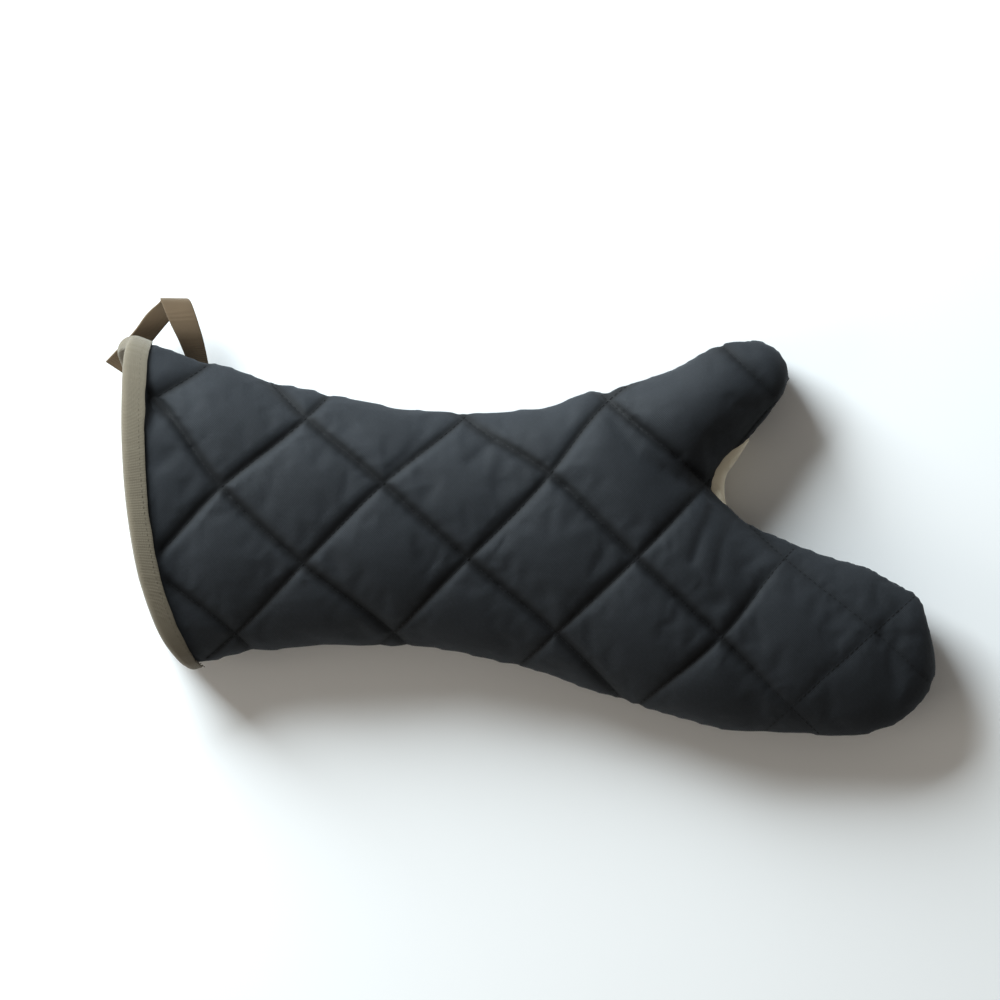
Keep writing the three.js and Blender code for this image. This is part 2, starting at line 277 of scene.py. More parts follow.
class MittSettings(bpy.types.PropertyGroup):
    mesh_size: FloatProperty(
        name="Mesh size", description="Edge of the padding's mesh before its last subdivision",
        default=2.8 * MM, unit="LENGTH")
    pressure: FloatProperty(
        name="Filling pressure", description="How hard the padding pushes its cloth out", default=4.0)
    slack: FloatProperty(
        name="Cloth slack", description="Share by which the cloth is larger than the padding", default=0.008)
    swell: FloatProperty(
        name="Swell", description="The furthest that the padding may move the cloth",
        default=3.5 * MM, unit="LENGTH")
    frames: IntProperty(
        name="Steps", description="Steps of the cloth simulation", default=18)
    channel: FloatProperty(
        name="Channel depth", description="How deep a quilting line pulls the padding in",
        default=3.0 * MM, unit="LENGTH")
    stitch_pitch: FloatProperty(
        name="Stitch pitch", description="From one quilting stitch to the next",
        default=3.4 * MM, unit="LENGTH")
    thread: FloatProperty(
        name="Thread", description="Diameter of the sewing thread", default=0.42 * MM, unit="LENGTH")
    cloth_colour: FloatVectorProperty(
        name="Cloth", description="Colour of the quilted cloth", subtype="COLOR",
        default=(0.0130, 0.0151, 0.0181), min=0, max=1)
    binding_colour: FloatVectorProperty(
        name="Binding", description="Colour of the cuff's binding", subtype="COLOR",
        default=(0.124, 0.104, 0.073), min=0, max=1)
    loop_colour: FloatVectorProperty(
        name="Loop", description="Colour of the hanging loop", subtype="COLOR",
        default=(0.124, 0.083, 0.047), min=0, max=1)
    guard_colour: FloatVectorProperty(
        name="Web guard", description="Colour of the tape in the thumb's crotch", subtype="COLOR",
        default=(0.900, 0.810, 0.630), min=0, max=1)
    floor_colour: FloatVectorProperty(
        name="Floor", description="Colour of the surface that the mitt lies on", subtype="COLOR",
        default=(0.96, 0.96, 0.96), min=0, max=1)


def settings():
    return bpy.context.scene.mitt


# Small tools

def mix(a, b, share):
    return a + (b - a) * share


def smoothstep(edge_0, edge_1, value):
    share = np.clip((value - edge_0) / (edge_1 - edge_0), 0, 1)
    return share * share * (3 - 2 * share)


def curve_through(rows, place):
    """Rows of a table at any place between them, on a smooth curve through all rows."""
    rows = np.asarray(rows, float)
    place = np.clip(np.asarray(place, float), 0, len(rows) - 1)
    first = np.minimum(place.astype(int), len(rows) - 2)
    part = (place - first)[..., None]
    ends = np.vstack([2 * rows[0] - rows[1], rows, 2 * rows[-1] - rows[-2]])
    a, b, c, d = (ends[first + k] for k in range(4))
    bend = 2 * a - 5 * b + 4 * c - d + part * (3 * (b - c) + d - a)
    return b + 0.5 * part * (c - a + part * bend)


def in_frame(points):
    """Pattern millimetres as metres of the frame."""
    points = np.array(points, float)
    points[..., :2] += PATTERN_ZERO
    return points * MM


def in_pattern(points):
    """Metres of the frame as pattern millimetres."""
    points = np.asarray(points, float) / MM
    points[..., :2] -= PATTERN_ZERO
    return points


def new_piece(name, bm, material=None):
    mesh = bpy.data.meshes.new(name)
    bm.to_mesh(mesh)
    bm.free()
    mesh.shade_smooth()
    piece = bpy.data.objects.new(name, mesh)
    bpy.context.scene.collection.objects.link(piece)
    if material:
        mesh.materials.append(material)
    return piece


def node_mesh(node):
    """A merged copy of a frame node's mesh."""
    bm = bmesh.new()
    bm.from_mesh(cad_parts[node].data)
    bmesh.ops.remove_doubles(bm, verts=bm.verts, dist=0.005 * MM)
    return bm


def apply_modifiers(piece):
    graph = bpy.context.evaluated_depsgraph_get()
    mesh = bpy.data.meshes.new_from_object(piece.evaluated_get(graph))
    piece.modifiers.clear()
    old = piece.data
    piece.data = mesh
    bpy.data.meshes.remove(old)


def remesh(piece, size, rounds):
    """Even quads over the whole piece, with their steps smoothed away."""
    cut = piece.modifiers.new("Remesh", "REMESH")
    cut.mode = "VOXEL"
    cut.voxel_size = size
    cut.use_smooth_shade = True
    even = piece.modifiers.new("Even", "SMOOTH")
    even.factor = 0.5
    even.iterations = rounds
    apply_modifiers(piece)


def smooth_outline(piece):
    """Takes the mesh's steps out of the panel's edge along the side seam."""
    x, _, z = in_pattern(points_of(piece.data)).T
    shares = 1 - smoothstep(SEAM_REACH, 2 * SEAM_REACH, abs(z - seam_height(x)))
    group = piece.vertex_groups.new(name="edge")
    for index in np.nonzero(shares > 0)[0]:
        group.add([int(index)], float(shares[index]), "REPLACE")
    smooth = piece.modifiers.new("Outline", "SMOOTH")
    smooth.factor = 0.5
    smooth.iterations = SEAM_SMOOTHING
    smooth.vertex_group = "edge"
    apply_modifiers(piece)
    piece.vertex_groups.clear()


def subdivide(piece, levels=1):
    finer = piece.modifiers.new("Finer", "SUBSURF")
    finer.levels = levels
    finer.render_levels = levels
    apply_modifiers(piece)


def points_of(mesh):
    points = np.empty(len(mesh.vertices) * 3)
    mesh.vertices.foreach_get("co", points)
    return points.reshape(-1, 3)


def normals_of(mesh):
    normals = np.empty(len(mesh.vertices) * 3)
    mesh.vertex_normals.foreach_get("vector", normals)
    return normals.reshape(-1, 3)


def set_points(mesh, points):
    mesh.vertices.foreach_set("co", np.asarray(points, np.float32).ravel())
    mesh.update()


def store(mesh, name, values):
    """A number for each point that the material reads."""
    attribute = mesh.attributes.get(name) or mesh.attributes.new(name, "FLOAT", "POINT")
    attribute.data.foreach_set("value", np.asarray(values, np.float32))


def uneven(points, size, seed):
    """Soft noise of about -1 to 1 at each point, with bumps of the given size in metres."""
    return np.array([noise.noise(Vector((p / size).tolist()) + Vector((seed, seed, seed))) for p in points])


def rests(z, softness):
    """Heights pressed softly against the floor, so that none is below it."""
    return np.where(z < softness, softness * np.exp(np.minimum(z - softness, 0) / softness), z)


# The mitt's form

def nearest_on_line(points, line):
    """The nearest point of a line through a table's rows, and its squared distance."""
    best = np.full(len(points), np.inf)
    found = np.zeros_like(points)
    for a, b in zip(line[:-1], line[1:]):
        step = b - a
        share = np.clip((points - a) @ step / (step @ step), 0, 1)
        on = a + share[:, None] * step
        gap = ((points - on) ** 2).sum(1)
        nearer = gap < best
        best[nearer] = gap[nearer]
        found[nearer] = on[nearer]
    return found, best


def faces_out(points, normals):
    """Whether each point of a padded wall is on its outer face."""
    arm, arm_gap = nearest_on_line(points, ARM_AXIS)
    thumb, thumb_gap = nearest_on_line(points, THUMB_AXIS)
    centre = np.where((thumb_gap < arm_gap)[:, None], thumb, arm)
    return ((points - centre) * normals).sum(1) > 0


def seam_height(x):
    return SEAM_HEIGHT + SEAM_SLOPE * x


def crown_height(x, y):
    hand = np.interp(x, CROWN_HEIGHTS[:, 0], CROWN_HEIGHTS[:, 1])
    root, tip, root_x, tip_x = THUMB_CROWN
    thumb = np.interp(x, (root_x, tip_x), (root, tip))
    return np.where((x > THUMB_REACH[0]) & (y > THUMB_REACH[1]), thumb, hand)


def turned_up(points):
    """How far a point faces up or down: 0 at the side seam, 1 at the crown or the palm's middle."""
    x, y, z = points.T
    over = z - seam_height(x)
    up = over / (crown_height(x, y) - seam_height(x))
    down = -over / (FULLNESS * seam_height(x))
    return np.clip(np.where(over > 0, up, down), 0, 1)


def cuff_shift(points):
    """How far along the arm a point is from the binding's outer edge."""
    rows = curve_through(CUFF_EDGE, np.linspace(0, len(CUFF_EDGE) - 1, CUFF_EDGE_STEPS))
    return points[:, 0] - np.interp(points[:, 1], rows[:, 1], rows[:, 0])


def cuff_points(angle, shift, grow):
    """Points round the cuff, at a distance from its edge and a height over the padding."""
    angle, shift, grow = np.broadcast_arrays(angle, shift, grow)
    low = np.zeros(angle.shape)
    high = np.full(angle.shape, len(CUFF_SECTIONS) - 1.0)
    for _ in range(HALVINGS):
        middle = (low + high) / 2
        point = section_point(middle, angle, grow)
        short = cuff_shift(point.reshape(-1, 3)).reshape(angle.shape) < shift
        low = np.where(short, middle, low)
        high = np.where(short, high, middle)
    return section_point((low + high) / 2, angle, grow)


def section_point(place, angle, grow):
    """Points round the section at a place between the rows, a height over the padding."""
    row = curve_through(CUFF_SECTIONS, place)
    thumb, far = row[..., 0:2], row[..., 2:4]
    crown = row[..., 4] + grow
    lift = np.maximum(0, row[..., 5]) - grow
    half = (thumb - far) / 2
    length = np.linalg.norm(half, axis=-1)
    reach = (length + grow) / length * np.cos(angle)
    plan = (thumb + far) / 2 + half * reach[..., None]
    seam = seam_height(plan[..., 0])
    rise = np.sin(angle)
    upper = seam + (crown - seam) * rise
    lower = seam + FULLNESS * (seam - lift) * rise
    lower = lift + rests(lower - lift, UNDERSIDE_SOFTNESS)
    return np.concatenate([plan, np.where(rise >= 0, upper, lower)[..., None]], -1)


# Quilting

def quilt_shift(x, y):
    """How far the quilting at a place was pulled from its straight pattern."""
    along, down, moved_x, moved_y = QUILT_SHIFTS.T
    at_x = QUILT_ORIGIN[0] + QUILT_HALF[0] * along + moved_x
    at_y = QUILT_ORIGIN[1] - QUILT_HALF[1] * down + moved_y

    def near(px, py):
        gap = (px[:, None] - at_x) ** 2 + (py[:, None] - at_y) ** 2
        return np.exp(-gap / SHIFT_REACH**2)

    shares = np.linalg.solve(near(at_x, at_y), np.column_stack([moved_x, moved_y]))
    return (near(x, y) @ shares).T


def tightness(phase, table, x):
    """How tightly the nearest line is sewn, at a place along the mitt."""
    index = LINES_PER_PHASE * np.round(phase / LINES_PER_PHASE)
    sewn = np.ones_like(phase)
    for line, value in table.items():
        sewn[index == line] = value
    return sewn * mix(1, FINGER_TIGHTNESS, smoothstep(FINGERS_FROM, FINGERS_TO, x))


def quilt_phases(x, y, pulled):
    """The phase of the falling and of the rising lines; a line runs where a phase is even."""
    if pulled:
        moved_x, moved_y = quilt_shift(x, y)
        x, y = x - moved_x, y - moved_y
    across = (x - QUILT_ORIGIN[0]) / QUILT_HALF[0]
    up = (y - QUILT_ORIGIN[1]) / QUILT_HALF[1]
    return across + up, across - up


def line_gap(phase):
    """Signed distance to the nearest line."""
    nearest = LINES_PER_PHASE * np.round(phase / LINES_PER_PHASE)
    return (phase - nearest) * QUILT_PITCH / LINES_PER_PHASE


def line_plan(family, index, along, pulled):
    """Places along one quilting line, in x and y. along is the other family's phase."""
    falling = np.full_like(along, index) if family == "falling" else along
    rising = along if family == "falling" else np.full_like(along, index)
    flat_x = QUILT_ORIGIN[0] + QUILT_HALF[0] * (falling + rising) / 2
    flat_y = QUILT_ORIGIN[1] + QUILT_HALF[1] * (falling - rising) / 2
    x, y = flat_x, flat_y
    for _ in range(LINE_ROUNDS if pulled else 0):
        moved_x, moved_y = quilt_shift(x, y)
        x = mix(x, flat_x + moved_x, LINE_EASE)
        y = mix(y, flat_y + moved_y, LINE_EASE)
    return x, y


def outline_shift(points):
    """How much further out the mitt's outline lies near each point."""
    gap = ((points[:, None, :2] - OUTLINE_SHIFTS[:, :2]) ** 2).sum(2)
    return np.exp(-gap / OUTLINE_REACH**2) @ OUTLINE_SHIFTS[:, 2]


def fold_pull(x, y):
    """How far the loose folds pull the cloth in."""
    pull = np.zeros_like(x)
    spots = np.stack([x, y, np.zeros_like(x)], 1)
    for line, depth, half_width in FOLDS:
        rows = curve_through(line, np.linspace(0, len(line) - 1, FOLD_STEPS))
        rows = np.column_stack([rows, np.zeros(len(rows))])
        _, gap = nearest_on_line(spots, rows)
        pull = np.maximum(pull, depth * np.exp(-gap / half_width**2))
    return pull


def closed_seam(points, pulled):
    """Heights of a panel's points with its edge pressed against the other panel's."""
    seam = seam_height(points[:, 0])
    side = 1 if pulled else -1
    over = (points[:, 2] - seam) * side
    near = 1 - smoothstep(SEAM_PRESSED, SEAM_REACH, over)
    return seam + side * (over - (over + SEAM_OVERLAP) * near)


class Quilt:
    """Where each point of a panel lies in its quilting, in pattern millimetres."""

    def __init__(self, mesh, pulled):
        self.points = in_pattern(points_of(mesh))
        self.normals = normals_of(mesh)
        self.outside = faces_out(self.points, self.normals)
        x, y, z = self.points.T
        self.falling, self.rising = quilt_phases(x, y, pulled)
        self.gap_falling = line_gap(self.falling)
        self.gap_rising = line_gap(self.rising)
        self.gap = np.minimum(abs(self.gap_falling), abs(self.gap_rising))
        self.tight_falling = tightness(self.falling, FALLING_TIGHTNESS, x) if pulled else np.ones_like(x)
        self.tight_rising = tightness(self.rising, RISING_TIGHTNESS, x) if pulled else np.ones_like(x)
        self.turned = turned_up(self.points)
        self.side = mix(FRAME_SIDE_PULL, 1, self.turned)
        self.free = np.clip(z / FRAME_PRESSED, 0, 1)
        self.in_cuff = cuff_shift(self.points)
        self.from_seam = abs(z - seam_height(x))

    def sewn(self, half_width, falling_wider=1.0):
        """1 on a quilting line and less beside it, times how tightly the line is sewn."""
        falling = self.tight_falling * np.exp(-((self.gap_falling / (half_width * falling_wider)) ** 2))
        lean = np.where(self.gap_rising < 0, *RISING_LEAN)
        rising = self.tight_rising * np.exp(-((self.gap_rising / (half_width * lean)) ** 2))
        return np.maximum(falling, rising)

    def move(self, mesh, distance):
        self.points = self.points + self.normals * distance[:, None]
        set_points(mesh, in_frame(self.points))


def frame_channels(quilt):
    """How far the frame's own quilting pulled each point of its outer face in."""
    x, y = quilt.points[:, 0], quilt.points[:, 1]
    towards = [abs(np.cos(phase * math.pi / LINES_PER_PHASE)) ** FRAME_QUILT_SHARPNESS
               for phase in quilt_phases(x, y, False)]
    return FRAME_QUILT_DEPTH * quilt.free * quilt.side * np.maximum(*towards)


def shape_padding(mesh, pulled):
    """The padding before it swells: plain walls with a channel along each quilting line."""
    quilt = Quilt(mesh, pulled)
    depth = settings().channel / MM
    bound = smoothstep(*PADDING_FREE, quilt.in_cuff)
    groove, dish = (share * quilt.sewn(half_width) for share, half_width in (GROOVE, DISH))
    channel = depth * (groove + dish)
    fuller = SIDE_FULLNESS[pulled] + outline_shift(quilt.points)
    fuller = fuller * (1 - quilt.turned) ** 2 * quilt.free * bound * quilt.outside
    outer = frame_channels(quilt) - (PADDING_SUNK + channel) * quilt.side * bound
    inner = -np.minimum(INNER_SHARE * channel, WALL_LEFT - channel) * bound * quilt.side
    quilt.points[:, 0] += CUFF_TRIM * (1 - smoothstep(0, CUFF_HELD, quilt.in_cuff))
    quilt.points[:, :2] += quilt.normals[:, :2] * fuller[:, None]  # level, so the seam stays closed
    quilt.move(mesh, np.where(quilt.outside, outer, inner))


def pins(mesh, pulled):
    """Points that the sewing holds: quilting lines, the side seam and what the binding covers."""
    quilt = Quilt(mesh, pulled)
    held = (quilt.gap < LINE_HELD) | (quilt.from_seam < SEAM_HELD) | (quilt.in_cuff < CUFF_HELD)
    return np.nonzero(held)[0]


def swell(piece, pulled):
    """Fills the padding: the cloth simulation blows each diamond up between its stitches."""
    mesh = piece.data
    start = points_of(mesh)
    group = piece.vertex_groups.new(name="sewn")
    group.add(pins(mesh, pulled).tolist(), 1.0, "REPLACE")
    cloth = piece.modifiers.new("Filling", "CLOTH")
    cloth.settings.quality = CLOTH_QUALITY
    cloth.settings.vertex_group_mass = "sewn"
    cloth.settings.use_pressure = True
    cloth.settings.uniform_pressure_force = settings().pressure
    cloth.settings.shrink_min = -settings().slack
    cloth.settings.effector_weights.gravity = 0
    cloth.settings.bending_stiffness = CLOTH_STIFFNESS
    cloth.collision_settings.use_collision = False
    cloth.point_cache.frame_start = 1
    cloth.point_cache.frame_end = settings().frames + 1
    scene = bpy.context.scene
    for step in range(1, settings().frames + 1):
        scene.frame_set(step)
    graph = bpy.context.evaluated_depsgraph_get()
    filled = points_of(piece.evaluated_get(graph).data)
    piece.modifiers.clear()
    scene.frame_set(1)
    moved = filled - start
    length = np.linalg.norm(moved, axis=1, keepdims=True)
    most = settings().swell
    capped = most * np.tanh(length / most) / np.maximum(length, 1e-9)
    quilt = Quilt(mesh, pulled)
    share = np.where(quilt.outside, quilt.side, 1)[:, None]
    set_points(mesh, start + moved * capped * share)
    piece.vertex_groups.clear()


def finish_cloth(mesh, pulled, seed):
    """The last millimetre: stitched channels, puckers along them, loose folds and a worn unevenness."""
    quilt = Quilt(mesh, pulled)
    points = points_of(mesh)
    x, y = quilt.points[:, 0], quilt.points[:, 1]
    bound = smoothstep(*RELIEF_FREE, quilt.in_cuff)
    crease_depth, crease_width = CREASE
    stitched = quilt.sewn(crease_width)
    along = np.where(abs(quilt.gap_falling) < abs(quilt.gap_rising), quilt.rising, quilt.falling)
    along = along * QUILT_PITCH / LINES_PER_PHASE
    wander = uneven(points, WANDER_SIZE * MM, seed)
    pucker_height, pucker_pitch, beside = PUCKERS
    pucker = np.sin(2 * math.pi * (along + PUCKER_WANDER * wander) / pucker_pitch)
    pucker = pucker * np.exp(-((quilt.gap - beside) / beside) ** 2)
    soft = uneven(points, SOFT_RELIEF[1] * MM, seed + 5)
    fine = uneven(points, FINE_RELIEF[1] * MM, seed + 9)
    folds = fold_pull(x, y) if pulled else 0
    relief = pucker_height * pucker * (PUCKER_LEAST + wander) + SOFT_RELIEF[0] * soft + FINE_RELIEF[0] * fine
    distance = (relief - crease_depth * stitched - folds * quilt.turned) * bound * quilt.side
    quilt.move(mesh, np.where(quilt.outside, distance, INNER_RELIEF * (relief - stitched) * bound))
    # Painted shade: this mask darkens the cloth's colour along the quilting lines, standing in for the shade
    # in their creases
    store(mesh, "stitched", np.minimum(quilt.sewn(CREASE_SHADE_WIDTH, FALLING_SHADE), 1) * bound)
    final = in_pattern(points_of(mesh))
    final[:, 2] = rests(closed_seam(final, pulled), REST_SOFTNESS)
    set_points(mesh, in_frame(final))


# Materials

def node(tree, kind, inputs=None, **facts):
    made = tree.nodes.new(kind)
    for name, value in facts.items():
        setattr(made, name, value)
    for name, value in (inputs or {}).items():
        if isinstance(value, bpy.types.NodeSocket):
            tree.links.new(value, made.inputs[name])
        else:
            made.inputs[name].default_value = value
    return made


def calculate(tree, operation, *values):
    inputs = {i: v for i, v in enumerate(values)}
    return node(tree, "ShaderNodeMath", inputs, operation=operation).outputs[0]


def blend(tree, factor, a, b):
    return node(tree, "ShaderNodeMix", {0: factor, 6: a, 7: b}, data_type="RGBA").outputs[2]


def mottle(tree, scale, detail=2.0):
    """Soft noise on the piece's own coordinates."""
    place = node(tree, "ShaderNodeTexCoord").outputs["Object"]
    return node(tree, "ShaderNodeTexNoise", {"Vector": place, "Scale": scale, "Detail": detail}).outputs[0]


def shade(colour, share):
    return (*(c * share for c in colour), 1)


def new_material(name, roughness, sheen, sheen_tint, gloss=0.25):
    """A matte cloth finish: the material, its tree and its shader."""
    material = bpy.data.materials.new(name)
    material.use_nodes = True
    tree = material.node_tree
    shader = tree.nodes["Principled BSDF"]
    shader.inputs["Roughness"].default_value = roughness
    shader.inputs["Specular IOR Level"].default_value = gloss
    shader.inputs["Sheen Weight"].default_value = sheen
    shader.inputs["Sheen Roughness"].default_value = 0.5
    shader.inputs["Sheen Tint"].default_value = sheen_tint
    return material, tree, shader


def add_bump(tree, shader, height, distance):
    bump = node(tree, "ShaderNodeBump", {"Height": height, "Distance": distance, "Strength": 1.0})
    tree.links.new(bump.outputs[0], shader.inputs["Normal"])


def weave_height(tree, pitch):
    """Threads over and under each other on every side of a piece."""
    place = node(tree, "ShaderNodeTexCoord").outputs["Object"]
    facing = node(tree, "ShaderNodeNewGeometry").outputs["Normal"]
    waves = [calculate(tree, "SINE", calculate(tree, "MULTIPLY", side, math.pi / pitch))
             for side in node(tree, "ShaderNodeSeparateXYZ", {0: place}).outputs]
    facings = [calculate(tree, "ABSOLUTE", side)
               for side in node(tree, "ShaderNodeSeparateXYZ", {0: facing}).outputs]
    total = None
    for first, second, over in ((0, 1, 2), (1, 2, 0), (0, 2, 1)):
        threads = calculate(tree, "MULTIPLY", waves[first], waves[second])
        weight = calculate(tree, "POWER", facings[over], 3.0)
        part = calculate(tree, "MULTIPLY", threads, weight)
        total = part if total is None else calculate(tree, "ADD", total, part)
    return total


def quilted_cloth():
    colour = settings().cloth_colour
    material, tree, shader = new_material("quilted cloth", 0.70, 0.05, (0.75, 0.85, 1.0, 1), 0.22)
    worn = node(tree, "ShaderNodeMapRange", {0: mottle(tree, 28.0, 4.0), 1: 0.35, 2: 0.7})
    base = blend(tree, worn.outputs[0], shade(colour, 0.86), shade(colour, 1.16))
    specks = node(tree, "ShaderNodeMapRange", {0: mottle(tree, 900.0), 1: 0.45, 2: 0.8})
    base = blend(tree, calculate(tree, "MULTIPLY", specks.outputs[0], 0.35), base, shade(colour, 1.9))
    # Painted shade: the colour darkens along the quilting lines, as the shade in their creases
    sewn = node(tree, "ShaderNodeAttribute", attribute_name="stitched").outputs["Fac"]
    base = blend(tree, calculate(tree, "MULTIPLY", sewn, 0.9), base, shade(colour, 0.15))
    tree.links.new(base, shader.inputs["Base Color"])
    fuzz = calculate(tree, "MULTIPLY", mottle(tree, 420.0, 3.0), 1.6)
    add_bump(tree, shader, calculate(tree, "ADD", weave_height(tree, 0.62 * MM), fuzz), 0.06 * MM)
    return material


def woven_tape(name, colour, ribs, relief):
    """Narrow woven tape. Its UV map is in metres: u across the tape and v along it."""
    material, tree, shader = new_material(name, 0.78, 0.25, (1.0, 0.96, 0.88, 1))
    u, v, _ = node(tree, "ShaderNodeSeparateXYZ", {0: node(tree, "ShaderNodeUVMap").outputs[0]}).outputs
    warp = calculate(tree, "SINE", calculate(tree, "MULTIPLY", u, 2 * math.pi / (0.55 * MM)))
    weft = calculate(tree, "SINE", calculate(tree, "MULTIPLY", v, 2 * math.pi / ribs))
    threads = calculate(tree, "ADD", calculate(tree, "MULTIPLY", warp, 0.4), weft)
    shadow = node(tree, "ShaderNodeMapRange", {0: threads, 1: -1.4, 2: 1.4})
    base = blend(tree, mottle(tree, 60.0, 5.0), shade(colour, 0.82), shade(colour, 1.15))
    base = blend(tree, calculate(tree, "MULTIPLY", shadow.outputs[0], 0.3), base, shade(colour, 1.3))
    tree.links.new(base, shader.inputs["Base Color"])
    add_bump(tree, shader, threads, relief)
    return material


def sewing_thread(name, colour):
    material, tree, shader = new_material(name, 0.7, 0.03, (1, 1, 1, 1))
    base = blend(tree, mottle(tree, 2500.0), shade(colour, 0.7), shade(colour, 1.3))
    tree.links.new(base, shader.inputs["Base Color"])
    return material


def plain_floor():
    material, tree, shader = new_material("floor", 0.9, 0, (1, 1, 1, 1))
    colour = settings().floor_colour
    base = blend(tree, mottle(tree, 2.0), shade(colour, 0.985), shade(colour, 1.0))
    tree.links.new(base, shader.inputs["Base Color"])
    return material


# Tapes and stitches

def tape(name, across, along, place, thickness, material, closed=False):
    """A strip from a grid: place gives its middle surface for shares across and along."""
    bm = bmesh.new()
    uv = bm.loops.layers.uv.new("UVMap")
    bmesh.ops.create_grid(bm, x_segments=across, y_segments=along, size=0.5, calc_uvs=True)
    shares = np.array([v.co[:2] for v in bm.verts]) + 0.5
    points = place(shares[:, 0], shares[:, 1])
    for vertex, point in zip(bm.verts, points):
        vertex.co = point
    width = line_length(place(np.linspace(0, 1, 40), np.full(40, 0.5)))
    length = line_length(place(np.full(200, 0.5), np.linspace(0, 1, 200)))
    for face in bm.faces:
        for loop in face.loops:
            loop[uv].uv = (loop[uv].uv.x * width, loop[uv].uv.y * length)
    if closed:
        bmesh.ops.remove_doubles(bm, verts=bm.verts, dist=0.01 * MM)
    piece = new_piece(name, bm, material)
    wall = piece.modifiers.new("Thickness", "SOLIDIFY")
    wall.thickness = thickness
    wall.offset = 0
    edges = piece.modifiers.new("Soft edges", "BEVEL")
    edges.width = thickness * EDGE_ROUNDING
    edges.segments = 2
    edges.limit_method = "ANGLE"
    edges.angle_limit = math.radians(60)
    apply_modifiers(piece)
    return piece, width, length


def line_length(points):
    return float(np.linalg.norm(np.diff(points, axis=0), axis=1).sum())


def stitch_place(start, end, normal, thickness):
    """Where one stitch lies: a thread that comes out of the cloth and dives in again."""
    along = end - start
    length = along.length
    along.normalize()
    side = along.cross(normal).normalized()
    up = side.cross(along)
    turn = Matrix((side, along, up)).transposed().to_4x4()
    size = Matrix.Diagonal((thickness, length, thickness, 1))
    return Matrix.Translation((start + end) / 2) @ turn @ size


def sew(path, normals, pitch, share=STITCH_LENGTH):
    """The places of stitches at an even pitch along a path on the cloth."""
    steps = np.linalg.norm(np.diff(path, axis=0), axis=1)
    reached = np.concatenate([[0], np.cumsum(steps)])
    places = []
    for k in range(int(reached[-1] / pitch)):
        ends = [(k + 0.5 - share / 2) * pitch, (k + 0.5 + share / 2) * pitch]
        start, end = (Vector([np.interp(s, reached, path[:, i]) for i in range(3)]) for s in ends)
        normal = Vector([np.interp(ends[0], reached, normals[:, i]) for i in range(3)])
        places.append(stitch_place(start, end, normal.normalized(), settings().thread))
    return places


def stitches_at(name, places, material):
    """One joined piece of small spindles, one for each stitch."""
    one = bmesh.new()
    bmesh.ops.create_uvsphere(one, u_segments=6, v_segments=4, radius=0.5)
    corners = np.array([(*v.co, 1) for v in one.verts])
    faces = [[v.index for v in face.verts] for face in one.faces]
    one.free()
    points = np.concatenate([corners @ np.array(place).T for place in places])[:, :3]
    count = len(corners)
    polygons = [[count * k + i for i in face] for k in range(len(places)) for face in faces]
    mesh = bpy.data.meshes.new(name)
    mesh.from_pydata(points.tolist(), [], polygons)
    mesh.shade_smooth()
    mesh.materials.append(material)
    piece = bpy.data.objects.new(name, mesh)
    bpy.context.scene.collection.objects.link(piece)
    return piece


def quilting_stitches(name, cloth, pulled, side, material):
    """Stitches along the quilting lines that show on one side of the mitt. side is 1 up, -1 down."""
    tree = BVHTree.FromObject(cloth, bpy.context.evaluated_depsgraph_get())
    places = []
    for family in ("falling", "rising"):
        for index in LINE_NUMBERS:
            x, y = line_plan(family, index, LINE_STEPS, pulled)
            spots = in_frame(np.column_stack([x, y, np.zeros_like(x)]))
            run, facing = [], []
            for spot, shift in zip(spots, cuff_shift(np.column_stack([x, y]))):
                away = Vector((spot[0], spot[1], (SEARCH_FROM * side + MITT_MIDDLE) * MM))
                hit, normal, _, _ = tree.ray_cast(away, Vector((0, 0, -side)))
                seen = hit is not None and shift > STITCHES_FROM and normal.z * side > STITCHES_FACING
                over = (hit.z - seam_height(spot[0] / MM) * MM) * side if seen else 0
                if over > STITCHES_OVER_SEAM * MM:
                    run.append(hit + normal * STITCH_LIFT * MM)
                    facing.append(normal)
                elif run:
                    if len(run) > STITCH_RUN:
                        places += sew(np.array(run), np.array(facing), settings().stitch_pitch)
                    run, facing = [], []
    return stitches_at(name, places, material)


# Operators

def dress(piece, slot, *nodes):
    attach(piece, "root")
    if nodes:
        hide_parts(*nodes)


class MITT_OT_quilted_panels(bpy.types.Operator):
    """Model the two quilted, padded halves of the mitt and their quilting stitches"""

    bl_idname = "mitt.quilted_panels"
    bl_label = "Quilted panels"

    def execute(self, context):
        cloth = quilted_cloth()
        thread = sewing_thread("quilting thread", tuple(c * 0.3 for c in settings().cloth_colour))
        panels = (("back_panel", "quilted_back", True, 1, 3), ("palm_panel", "quilted_palm", False, -1, 17))
        for source, name, pulled, side, seed in panels:
            piece = new_piece(name, node_mesh(source))
            remesh(piece, settings().mesh_size, MESH_SMOOTHING)
            smooth_outline(piece)
            shape_padding(piece.data, pulled)
            swell(piece, pulled)
            subdivide(piece)
            finish_cloth(piece.data, pulled, seed)
            piece.data.shade_smooth()
            piece.data.materials.clear()
            piece.data.materials.append(cloth)
            stitches = quilting_stitches(name + "_stitches", piece, pulled, side, thread)
            dress(piece, "quilted_cloth", source)
            dress(stitches, "quilted_cloth")
        return {"FINISHED"}


